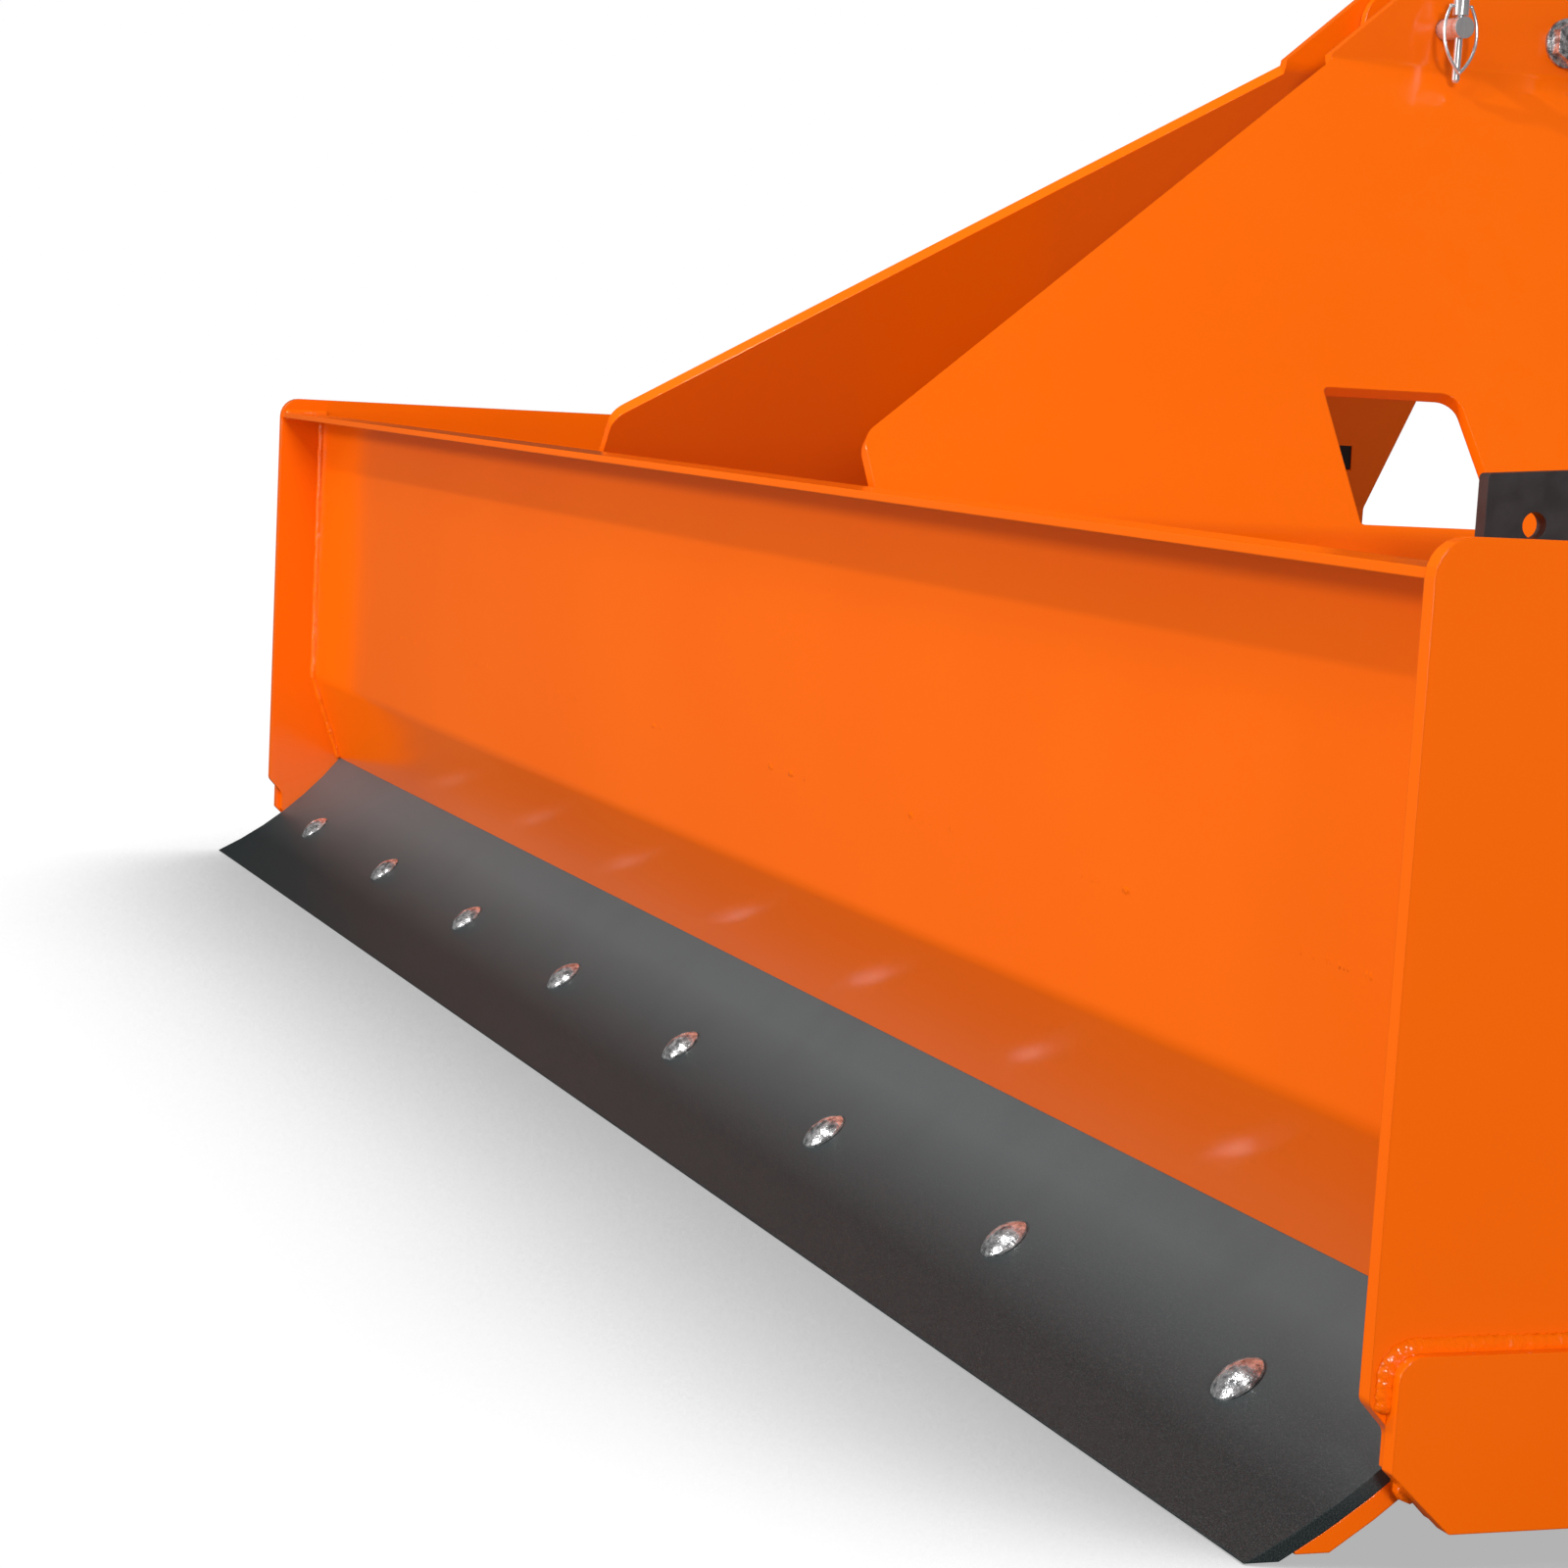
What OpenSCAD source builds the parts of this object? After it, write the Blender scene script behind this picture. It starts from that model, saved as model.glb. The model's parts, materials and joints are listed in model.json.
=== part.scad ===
// Box blade with rear cutting edge, ripper shanks and a three-point hitch mast.
// X runs along the blade, -Y is the rear face of the mouldboard, +Y faces the tractor.
// Heights are counted from the ground under the cutting edges.

/* [Blade] */
// Width between the end plates
inside_w = 2400; // [1500:50:2700]
// Height of the end plates' top edge
end_top = 460; // [440:5:520]
// Length of the end plates from front to rear
end_len = 574; // [560:5:700]
// Thickness of the end plates
end_t = 10; // [8:1:14]
// Thickness of the mouldboard sheet
sheet_t = 5; // [4:0.5:8]
// Height of the mouldboard's top flange
flange_top = 446; // [430:2:450]
// How far the flange stands out of the mouldboard
flange_out = 41; // [30:1:50]
// Height of the mouldboard's lower bend
bend_z = 180; // [165:1:200]

/* [Cutting edges] */
// Number of bolts in each cutting edge
bolt_count = 8; // [6:1:10]
// Thickness of the rear cutting edge
edge_t = 8; // [6:0.5:12]
// Radius of the hollow in the rear cutting edge
edge_r = 375; // [340:5:500]
// Thickness of the beds under the cutting edges
bed_t = 10; // [8:1:14]
// Thickness of the front cutting edge
front_t = 12; // [10:1:16]
// Width of the front cutting edge
front_w = 150; // [130:5:170]
// Diameter of the edge bolts
bolt_d = 12; // [10:1:14]
// Diameter of the edge bolts' domed heads
head_d = 30; // [26:1:34]

/* [Skid shoes] */
// Height of the shoes' top edge
shoe_top = 98; // [90:1:120]
// Height of the shoes' sole above the ground
shoe_gap = 15; // [10:1:20]
// Thickness of the shoes
shoe_t = 10; // [8:1:14]

/* [Toolbar and shanks] */
// Side of the square toolbar
bar_side = 120; // [110:2:130]
// Wall of the toolbar
bar_wall = 8; // [6:1:10]
// Place of the toolbar's middle behind the bolt line
bar_y = 417; // [400:1:430]
// Height of the toolbar's top face
bar_top = 361; // [350:1:375]
// Number of shanks
shank_count = 5; // [3:2:5]
// Distance from the outer shanks to the end plates
shank_margin = 120; // [100:10:160]
// Width of a shank
shank_w = 70; // [60:1:76]
// Thickness of a shank
shank_t = 12; // [10:1:16]
// Distance between a shank's holes, and its lift from one to the next
hole_pitch = 75; // [70:1:80]
// Diameter of the pins through the shanks
shank_pin_d = 16; // [14:1:18]

/* [Mast] */
// Thickness of the mast plates
mast_t = 10; // [8:1:12]
// Distance between the lower panels' outer faces
mast_w = 664; // [620:4:672]
// Clear gap between the clevis cheeks
cheek_gap = 64; // [60:1:70]
// Height of the lower bend of the mast plates
mast_z1 = 428; // [424:1:436]
// Height of the upper bend of the mast plates
mast_z2 = 766; // [740:1:780]
// Height of the top hitch holes
top_z = 788; // [780:1:800]
// Place of the rear edge of the mast plates
mast_rear = 751; // [740:1:780]
// Drop from the top hitch hole to the lower hitch pins
mast_drop = 457; // [430:1:483]
// Diameter of the lower hitch pins
lower_d = 22; // [20:0.1:28]
// Diameter of the top link pin
top_d = 19; // [18:0.1:22]
// Diameter of the pivot bolt
pivot_d = 20; // [16:1:22]
// Diameter of the float lock pin
lock_d = 16; // [14:1:18]

/* [Hidden] */
$fn = 64;

// ---- outline helpers: all outlines are lists of [y, z] points ----
// Points of an arc round a centre, from angle a0 to a1
function arc(c, r, a0, a1, n = 8) =
  [for (i = [0:n]) c + r * [cos(a0 + (a1 - a0) * i / n), sin(a0 + (a1 - a0) * i / n)]];
function unit(v) = v / norm(v);
// Unit normal on the left of the way from a to b
function left(a, b) = [-unit(b - a)[1], unit(b - a)[0]];
// One point of a line moved sideways by t, mitred at its corners
function mitre(p, i, t) =
  let (n0 = i > 0 ? left(p[i - 1], p[i]) : left(p[i], p[i + 1]),
       n1 = i < len(p) - 1 ? left(p[i], p[i + 1]) : n0)
  p[i] + t * (n0 + n1) / (1 + n0 * n1);
// Outline of a sheet of thickness t that follows the line p
function sheet(p, t) = concat(p, [for (i = [len(p) - 1:-1:0]) mitre(p, i, t)]);
// Rounds one corner b between a and c with radius r, turning either way
function round_corner(a, b, c, r, n = 6) =
  let (u = unit(a - b), v = unit(c - b), half = acos(u * v) / 2,
       m = b + unit(u + v) * r / sin(half),
       p0 = b + u * r / tan(half), p1 = b + v * r / tan(half),
       a0 = atan2((p0 - m)[1], (p0 - m)[0]), d = atan2((p1 - m)[1], (p1 - m)[0]) - a0,
       turn = d > 180 ? d - 360 : (d < -180 ? d + 360 : d))
  arc(m, r, a0, a0 + turn, n);
// Outline from corners [y, z, r]; r of 0 keeps the corner sharp
function rounded(c) = [for (i = [0:len(c) - 1])
  let (k = len(c), a = c[(i + k - 1) % k], b = c[i], d = c[(i + 1) % k],
       pa = [a[0], a[1]], pb = [b[0], b[1]], pd = [d[0], d[1]])
  each (b[2] > 0 ? round_corner(pa, pb, pd, b[2]) : [pb])];

// Extrudes a [y, z] outline along +X from x0
module along_x(x0, w) {
  translate([x0, 0, 0]) rotate([90, 0, 90]) linear_extrude(w) children();
}
// Round bar along +X from x0, on the line y, z
module bar_x(x0, w, d, at = [0, 0], sides = 64) {
  translate([x0, at[0], at[1]]) rotate([0, 90, 0]) cylinder(h = w, d = d, $fn = sides);
}

// Puts a piece into the part's frame, in its colour
module piece(c) { color(c) translate([0, -y_mid, 0]) children(); }

orange = [0.93, 0.36, 0.03];
dark = [0.22, 0.22, 0.23];
zinc = [0.78, 0.79, 0.8];
steel = [0.35, 0.35, 0.36];

// ---- derived sizes ----
half_w = inside_w / 2;
bolt_pitch = inside_w / bolt_count;
bolt_hole_d = bolt_d + 1;
web_y = 28;                    // rear face of the mouldboard's web
web_back = web_y + sheet_t;
lip_y = web_y - flange_out;
// rear cutting edge: its upper and lower front corners
edge_hi = [58, 97];
edge_lo = [-65, 0];
edge_half = norm(edge_hi - edge_lo) / 2;
edge_n = left(edge_lo, edge_hi);
edge_c = (edge_hi + edge_lo) / 2 + edge_n * sqrt(edge_r * edge_r - edge_half * edge_half);
edge_a = atan2(-edge_n[1], -edge_n[0]);
edge_span = asin(edge_half / edge_r);
bed_over = 4;                  // degrees by which the bed passes the edge's top
bed_short = 3.6;               // degrees by which the bed stops short of its tip
bed_clear = 3;                 // height of the bed's underside above the ground
shelf_r = 5;                   // inner radius of the bend under the flange
bend_r = 30;                   // outer radius of the lower bend

// Round bar about the axis of the edge's hollow, longer than the blade by over at each end
module edge_round(r, over = 0) {
  bar_x(-half_w - over, inside_w + 2 * over, 2 * r, edge_c, 360);
}
// Curved plate about that axis, from radius r0 to r1 and from angle a0 to a1
module edge_shell(r0, r1, a0, a1, over = 0) {
  reach = 2 * r1;
  difference() {
    intersection() {
      edge_round(r1, over);
      along_x(-half_w - over, inside_w + 2 * over)
        polygon(concat([edge_c], [for (a = [a0, (a0 + a1) / 2, a1]) edge_c + reach * [cos(a), sin(a)]]));
    }
    edge_round(r0, over + 1);
  }
}
module at_edge_bolts() {
  for (i = [0:bolt_count - 1])
    translate([(i - (bolt_count - 1) / 2) * bolt_pitch, 0, 0]) children();
}
// Puts +Z along the way out of the rear edge's hollow face, at radius r
module on_rear_face(r) {
  translate([0, edge_c[0] - edge_n[0] * r, edge_c[1] - edge_n[1] * r])
    rotate([-atan2(edge_n[0], edge_n[1]), 0, 0]) children();
}

module mouldboard() {
  slope_end = edge_hi + unit(edge_hi - [web_y, bend_z]) * (edge_t + 12);
  lip = [lip_y, flange_top - sheet_t];
  shelf = [web_y, flange_top - sheet_t];
  bend = [web_y, bend_z];
  line = concat([lip], round_corner(lip, shelf, bend, shelf_r),
    round_corner(shelf, bend, slope_end, bend_r, 10), [slope_end]);
  piece(orange) difference() {
    along_x(-half_w, inside_w) polygon(sheet(line, sheet_t));
    // room for the bed, which the sheet's lower end stands on, and for the edge
    edge_shell(edge_r + edge_t, edge_r + edge_t + bed_t + 20, edge_a - edge_span - 5,
      edge_a + edge_span + bed_over + 4, 1);
    edge_shell(edge_r - 5, edge_r + edge_t + 1, edge_a - edge_span, edge_a + edge_span, 1);
  }
}
module rear_edge_bed() {
  piece(orange) difference() {
    edge_shell(edge_r + edge_t, edge_r + edge_t + bed_t,
      edge_a - edge_span + bed_short, edge_a + edge_span + bed_over);
    along_x(-half_w - 1, inside_w + 2) translate([edge_lo[0], bed_clear - 60]) square([120, 60]);
    at_edge_bolts() on_rear_face(edge_r + edge_t + bed_t / 2)
      cylinder(h = 3 * bed_t, d = bolt_hole_d, center = true);
  }
}
module rear_cutting_edge() {
  piece(dark) difference() {
    edge_shell(edge_r, edge_r + edge_t, edge_a - edge_span - 4, edge_a + edge_span);
    // the ground cuts both faces, so the tip has a flat under it
    along_x(-half_w - 1, inside_w + 2) translate([edge_lo[0] - 60, -60]) square([180, 60]);
    at_edge_bolts() on_rear_face(edge_r + edge_t / 2)
      cylinder(h = 3 * edge_t, d = bolt_hole_d, center = true);
  }
}

// Domed bolt whose head stands on z = 0 and whose shank reaches down by reach
module domed_bolt(reach) {
  dome = 7;
  rim = 1.5;
  cap_r = (head_d * head_d / 4 + (dome - rim) * (dome - rim)) / (2 * (dome - rim));
  cap_a = asin(head_d / 2 / cap_r);
  rotate_extrude() polygon(concat([[0, -reach], [bolt_d / 2, -reach], [bolt_d / 2, 0], [head_d / 2, 0]],
    [for (i = [0:8]) [cap_r * sin(cap_a * (1 - i / 8)), dome - cap_r + cap_r * cos(cap_a * (1 - i / 8))]]));
}
// Hex nut of height h on z = 0, hanging below it, with its washer
module hex_nut(across, h, bore) {
  difference() {
    union() {
      translate([0, 0, -h]) cylinder(h = h - 2.5, d = across / cos(30), $fn = 6);
      translate([0, 0, -2.5]) cylinder(h = 2.5, d = across * 1.3);
    }
    translate([0, 0, -h - 1]) cylinder(h = h + 2, d = bore);
  }
}
nut_h = bolt_d + 1;
nut_across = bolt_d * 1.5;
bolt_play = 0.1;               // between a bolt and its nut
bolt_end = 3;                  // length of bolt that stands out of its nut
hole_play = 0.3;               // between a pin or bolt and its hole, on diameter
big_across = 30;               // across the flats of the pivot and stud nuts
head_lift = 0.35;              // a flat head bridges the hollow by this much
module rear_edge_bolts() {
  piece(zinc) at_edge_bolts() on_rear_face(edge_r - head_lift)
    domed_bolt(edge_t + bed_t + nut_h + head_lift + bolt_end);
}
module rear_edge_nuts() {
  piece(zinc) at_edge_bolts() on_rear_face(edge_r + edge_t + bed_t)
    hex_nut(nut_across, nut_h, bolt_d + bolt_play);
}

// front edge: a flat blade that leans back from its tip, on its own bed
front_lean = 25;
front_n = [cos(front_lean), sin(front_lean)];
front_up = [-sin(front_lean), cos(front_lean)];
// the rear bed's upper back corner, which the front bed's back rests on
bed_corner = edge_c + (edge_r + edge_t + bed_t) *
  [cos(edge_a + edge_span + bed_over), sin(edge_a + edge_span + bed_over)];
front_back_t = front_t + bed_t;
front_tip = [bed_corner[0] + front_back_t * front_n[0]
  + (bed_corner[1] + front_back_t * front_n[1]) * tan(front_lean), 0];
front_bed_lo = 32;             // the bed starts this far above the tip
module on_front() { translate([0, front_tip[0], 0]) rotate([front_lean, 0, 0]) children(); }
module front_edge_bed() {
  piece(orange) difference() {
    on_front() translate([-half_w, -front_back_t, front_bed_lo]) cube([inside_w, bed_t, 400]);
    translate([-half_w - 1, web_back - 400, -50]) cube([inside_w + 2, 400, 700]);
    at_edge_bolts() on_front() translate([0, 1, front_w / 2]) rotate([90, 0, 0])
      cylinder(h = 2 * front_back_t, d = bolt_hole_d);
  }
}
module front_cutting_edge() {
  piece(dark) difference() {
    on_front() translate([-half_w, -front_t, -20]) cube([inside_w, front_t, front_w + 20]);
    translate([-half_w - 1, front_tip[0] - 60, -60]) cube([inside_w + 2, 120, 60]);
    at_edge_bolts() on_front() translate([0, 1, front_w / 2]) rotate([90, 0, 0])
      cylinder(h = 2 * front_back_t, d = bolt_hole_d);
  }
}
module front_edge_bolts() {
  piece(zinc) at_edge_bolts() on_front() translate([0, 0, front_w / 2]) rotate([-90, 0, 0])
    domed_bolt(front_back_t + nut_h + bolt_end);
}
module front_edge_nuts() {
  piece(zinc) at_edge_bolts() on_front() translate([0, -front_back_t, front_w / 2])
    rotate([-90, 0, 0]) hex_nut(nut_across, nut_h, bolt_d + bolt_play);
}

// ---- end plates and skid shoes ----
end_y0 = lip_y - 1;
end_y1 = end_y0 + end_len;
toe_y = -1;                    // lower front edge, set back behind the step
sole = shoe_gap + 3;           // underside of the end plates
heel_y = 330;                  // from here on the shoe's heel stands on the ground
end_outline = [[end_y0, end_top, 18], [end_y1 - 130, end_top, 60], [end_y1, end_top - 150, 60],
  [end_y1, sole + 45, 10], [end_y1 - 45, sole, 10], [24, sole, 0], [toe_y, 43, 0],
  [toe_y, 60, 7], [end_y0, 74, 7]];
shoe_outline = [[-5, shoe_top, 12], [end_y1 - 12, shoe_top, 12], [end_y1 - 12, shoe_gap + 30, 4],
  [end_y1 - 42, 0, 4], [heel_y, 0, 4], [heel_y - 40, shoe_gap, 4], [26, shoe_gap, 2],
  [-5, shoe_gap + 29, 2]];
module left_end_plate() {
  piece(orange) along_x(-half_w - end_t, end_t) polygon(rounded(end_outline));
}
module right_end_plate() { mirror([1, 0, 0]) left_end_plate(); }
module left_skid_shoe() {
  piece(orange) along_x(-half_w - end_t - shoe_t, shoe_t) polygon(rounded(shoe_outline));
}
module right_skid_shoe() { mirror([1, 0, 0]) left_skid_shoe(); }

// ---- toolbar and shanks ----
shank_play = 1;                // gap round a shank in the toolbar's slots
bar_bottom = bar_top - bar_side;
pin_z = bar_top + shank_pin_d / 2 + 0.3;
module toolbar() {
  piece(orange) difference() {
    translate([-half_w, bar_y - bar_side / 2, bar_bottom]) cube([inside_w, bar_side, bar_side]);
    translate([-half_w - 1, bar_y - bar_side / 2 + bar_wall, bar_bottom + bar_wall])
      cube([inside_w + 2, bar_side - 2 * bar_wall, bar_side - 2 * bar_wall]);
    at_shanks() translate([-shank_t / 2 - shank_play, bar_y - shank_w / 2 - shank_play, bar_bottom - 1])
      cube([shank_t + 2 * shank_play, shank_w + 2 * shank_play, bar_side + 2]);
  }
}
shank_pitch = (inside_w - 2 * shank_margin) / (shank_count - 1);
function shank_x(k) = (k - (shank_count + 1) / 2) * shank_pitch;
module at_shanks() { for (k = [1:shank_count]) translate([shank_x(k), 0, 0]) children(); }
shank_y0 = bar_y - shank_w / 2;
shank_y1 = bar_y + shank_w / 2;
shank_top = pin_z + hole_pitch + 31;
nose = [shank_y1 + 22, 62];    // middle of the shank's nose
shank_outline = [[shank_y0, shank_top, 3], [shank_y1, shank_top + 5, 3], [shank_y1, 150, 60],
  [nose[0] + 22, nose[1] + 22, 0], [nose[0] - 15, nose[1] - 22, 0], [shank_y0, 130, 70]];
tip_outline = [[nose[0] + 8, nose[1] + 50, 3], [nose[0] + 30, nose[1] + 42, 3],
  [nose[0] + 75, 22, 0], [nose[0] + 62, 19, 0], [nose[0] - 34, 33, 3], [nose[0] - 26, 56, 3]];
module shank_body() {
  difference() {
    along_x(-shank_t / 2, shank_t) polygon(rounded(shank_outline));
    for (i = [-2:1]) bar_x(-shank_t, 2 * shank_t, shank_pin_d + 1, [bar_y, pin_z + i * hole_pitch]);
    bar_x(-shank_t, 2 * shank_t, tip_bolt_d + hole_play, nose);
  }
}
tip_w = 30;
tip_bolt_d = 8;
tip_bolt_across = 14;
tip_nut_h = 7;
module shank(k) { piece(dark) translate([shank_x(k), 0, 0]) shank_body(); }
module tip(k) {
  piece(steel) translate([shank_x(k), 0, 0]) difference() {
    along_x(-tip_w / 2, tip_w) polygon(rounded(tip_outline));
    along_x(-shank_t / 2, shank_t) polygon(rounded(shank_outline));
    bar_x(-tip_w, 2 * tip_w, tip_bolt_d + hole_play, nose);
  }
}
module tip_bolt(k) {
  piece(zinc) translate([shank_x(k), 0, 0]) {
    reach = tip_nut_h + 2;
    bar_x(-tip_w / 2 - reach, tip_w + reach, tip_bolt_d, nose);
    bar_x(tip_w / 2, 5, tip_bolt_across, nose, 6);
    difference() {
      bar_x(-tip_w / 2 - tip_nut_h, tip_nut_h, tip_bolt_across, nose, 6);
      bar_x(-tip_w / 2 - reach, reach + 1, tip_bolt_d, nose);
    }
  }
}
pin_len = 84;
pin_tail = 36;                 // length of pin on the far side of the shank's middle
handle_len = 64;
handle_d = 10;
module shank_pin(k) {
  piece(zinc) translate([shank_x(k), 0, 0]) {
    bar_x(-pin_tail, pin_len, shank_pin_d, [bar_y, pin_z]);
    translate([pin_len - pin_tail, bar_y - handle_len / 2, pin_z]) rotate([-90, 0, 0])
      cylinder(h = handle_len, d = handle_d);
  }
}

// ---- mast plates ----
// Each plate is one sheet with two bends: a plumb lower panel, a panel that leans
// inwards, and a plumb cheek. The right one is drawn, the left one is its mirror.
bend_in = 6;
bend_out = bend_in + mast_t;
mast_x = mast_w / 2;
cheek_x = cheek_gap / 2 + mast_t;
lean = atan((mast_x - cheek_x) / (mast_z2 - mast_z1));
bend1 = [mast_x - bend_out, mast_z1 - bend_out * tan(lean / 2)];
bend2 = [cheek_x + bend_in, mast_z2 + bend_in * tan(lean / 2)];
// start and length of the leaning panel, on its outer face
lean_start = bend1 + bend_out * [cos(lean), sin(lean)];
lean_end = bend2 - bend_in * [cos(lean), sin(lean)];
lean_len = norm(lean_end - lean_start);
mast_front = 60;
slope_z = 476;                 // where the sloping front edge starts
slope_u = (slope_z - lean_start[1]) / cos(lean);
cheek_front = 505;             // front edge at the upper bend
slope = (cheek_front - mast_front) / (lean_len - slope_u);
cheek_top = top_z + 45;
lock_y = 598;
lock_z = top_z + 5;
pivot_y = 702;
pivot_z = top_z + 3;
link_y = 800;
lower_y = 700;
lower_z = top_z - mast_drop;
// openings of the leaning panel, as corners [y, u, r] with u counted up the panel
window = [[410, 0.5, 3], [522, 0.5, 10], [519, 120.5, 14], [413, 120.5, 5]];
slot = [[692, 40, 1], [722, 40, 1], [712, 68, 1], [682, 68, 1]];
plug_sunk = 1.5;               // depth of the slot's plug below both faces
stud_d = 20;
bend_lap = 0.05;               // degrees by which a bend runs into the panels beside it
// Bend between two panels in the XZ plane, about c, from angle a0 up to a1
module bend_fill(c, a0, a1, y0, y1) {
  from = a0 - bend_lap;
  to = a1 + bend_lap;
  translate([0, y1, 0]) rotate([90, 0, 0]) linear_extrude(y1 - y0)
    polygon(concat(arc(c, bend_out, from, to, 8), arc(c, bend_in, to, from, 8)));
}
// Puts [x, y, u] of the leaning panel into place, with x = 0 on its outer face
module on_lean() { translate([lean_start[0], 0, lean_start[1]]) rotate([0, -lean, 0]) children(); }
module mast_plate() {
  cheek_u = cheek_top - bend2[1];
  difference() {
    union() {
      // lower panel, on the toolbar and behind it
      along_x(mast_x - mast_t, mast_t) polygon(rounded([[web_back, bend1[1], 0],
        [web_back, bar_top, 0], [bar_y + bar_side / 2, bar_top, 0],
        [bar_y + bar_side / 2, lower_z - 62, 0], [mast_rear, lower_z - 62, 45],
        [mast_rear, bend1[1], 0]]));
      bend_fill(bend1, 0, lean, mast_front, mast_rear);
      // leaning panel
      on_lean() along_x(-mast_t, mast_t) difference() {
        polygon(rounded([[mast_front, 0, 0], [mast_rear, 0, 0], [mast_rear, lean_len, 0],
          [cheek_front, lean_len, 0], [mast_front, slope_u, 25]]));
        polygon(rounded(window));
        polygon(rounded(slot));
      }
      bend_fill(bend2, 180, 180 + lean, cheek_front, mast_rear);
      // cheek
      along_x(cheek_x - mast_t, mast_t) polygon(rounded([[cheek_front, bend2[1], 0],
        [mast_rear, bend2[1], 0], [mast_rear, cheek_top, 25],
        [cheek_front + cheek_u * slope, cheek_top, 30]]));
    }
    bar_x(0, cheek_x + 1, lock_d + hole_play, [lock_y, lock_z]);
    bar_x(0, cheek_x + 1, pivot_d + hole_play, [pivot_y, pivot_z]);
    bar_x(mast_x - mast_t - 1, mast_t + 2, stud_d + hole_play, [lower_y, lower_z]);
  }
}
module right_mast_plate() { piece(orange) mast_plate(); }
module left_mast_plate() { piece(orange) mirror([1, 0, 0]) mast_plate(); }
// Plug that closes the slot
module slot_plug() {
  on_lean() along_x(plug_sunk - mast_t, mast_t - 2 * plug_sunk) polygon(rounded(slot));
}
module right_slot_plug() { piece(dark) slot_plug(); }
module left_slot_plug() { piece(dark) mirror([1, 0, 0]) slot_plug(); }

// ---- floating top link bracket ----
strap_t = 8;
strap_gap = cheek_gap - 2 - 2 * strap_t;
float_deg = 10;
link_h = 38;
bush_d = pivot_d + 14;
run_play = 0.1;                // running clearance on diameter
slot_play = 0.9;               // gap round the lock pin in its slot
module float_link() {
  lock_r = norm([pivot_y - lock_y, pivot_z - lock_z]);
  lock_a = atan2(lock_z - pivot_z, lock_y - pivot_y);
  at_a = lock_a < 0 ? lock_a + 360 : lock_a;
  pivot = [pivot_y, pivot_z];
  function slot_end(a) = pivot + lock_r * [cos(a), sin(a)];
  slot_r = lock_d / 2 + slot_play;
  piece(orange) difference() {
    union() {
      for (x = [-strap_gap / 2 - strap_t, strap_gap / 2]) along_x(x, strap_t)
        polygon(rounded([[lock_y - 34, pivot_z - link_h, 30], [link_y + 34, pivot_z - link_h, 33],
          [link_y + 34, pivot_z + link_h - 6, 33], [lock_y - 34, pivot_z + link_h, 30]]));
      bar_x(-strap_gap / 2, strap_gap, bush_d, pivot);
    }
    bar_x(-cheek_gap, 2 * cheek_gap, pivot_d + run_play, pivot);
    bar_x(-cheek_gap, 2 * cheek_gap, top_d + hole_play, [link_y, top_z]);
    // the lock pin's slot is an arc round the pivot
    along_x(-cheek_gap, 2 * cheek_gap) polygon(concat(
      arc(slot_end(at_a), slot_r, at_a, at_a + 180, 10),
      arc(slot_end(at_a - float_deg), slot_r, at_a - 180, at_a - float_deg, 10)));
  }
}
washer_t = 3;
module pivot_bolt() {
  out = cheek_x + washer_t;
  piece(zinc) {
    bar_x(-out - 20, 2 * out + 20, pivot_d, [pivot_y, pivot_z]);
    bar_x(out, 12.5, big_across / cos(30), [pivot_y, pivot_z], 6);
  }
}
module pivot_nut() {
  piece(zinc) difference() {
    bar_x(-cheek_x - washer_t - 16, 16, big_across / cos(30), [pivot_y, pivot_z], 6);
    bar_x(-cheek_x - washer_t - 17, 18, pivot_d + bolt_play, [pivot_y, pivot_z]);
  }
}
module pivot_washers() {
  piece(zinc) difference() {
    for (x = [-cheek_x - washer_t, cheek_x]) bar_x(x, washer_t, 37, [pivot_y, pivot_z]);
    bar_x(-2 * cheek_x, 4 * cheek_x, pivot_d + hole_play, [pivot_y, pivot_z]);
  }
}

// ---- hitch pins, linch pins and their rings ----
head_gap = 1;                  // a linch pin's head stands this far off its hitch pin
// Headed pin along +X: its head ends at x0, its shank reaches x1, the linch hole is at xl
module headed_pin(x0, x1, xl, d, linch_d, at) {
  difference() {
    union() {
      bar_x(x0, x1 - x0, d, at);
      bar_x(x0 - 9, 9, d + 14, at);
    }
    translate([xl, at[0], at[1] - d]) cylinder(h = 2 * d, d = linch_d + 0.2);
  }
}
// Sizes of a linch pin for a hitch pin of diameter d
function head_d_of(linch_d) = 2 * linch_d;
function head_h(linch_d) = 2.2 * linch_d;
function head_z(d, linch_d) = d / 2 + head_gap + head_h(linch_d) / 2;
function wire(linch_d) = 0.42 * linch_d;
function ring_h(d, linch_d) = head_z(d, linch_d) + d / 2 + 4.2 * linch_d;
function ring_half_w(d, linch_d) = d / 2 + wire(linch_d) + 3;
// Linch pin round the origin
module linch(d, linch_d) {
  below = d / 2 + 5 * linch_d;
  difference() {
    union() {
      translate([0, 0, -below]) cylinder(h = below + d / 2 + head_gap, d = linch_d);
      translate([0, 0, -below - 2]) cylinder(h = 2, d1 = linch_d * 0.6, d2 = linch_d);
      translate([0, 0, d / 2 + head_gap]) cylinder(h = head_h(linch_d), d = head_d_of(linch_d));
    }
    translate([0, -2 * linch_d, head_z(d, linch_d)]) rotate([-90, 0, 0])
      cylinder(h = 4 * linch_d, d = wire(linch_d) + 0.2);
  }
}
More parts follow.
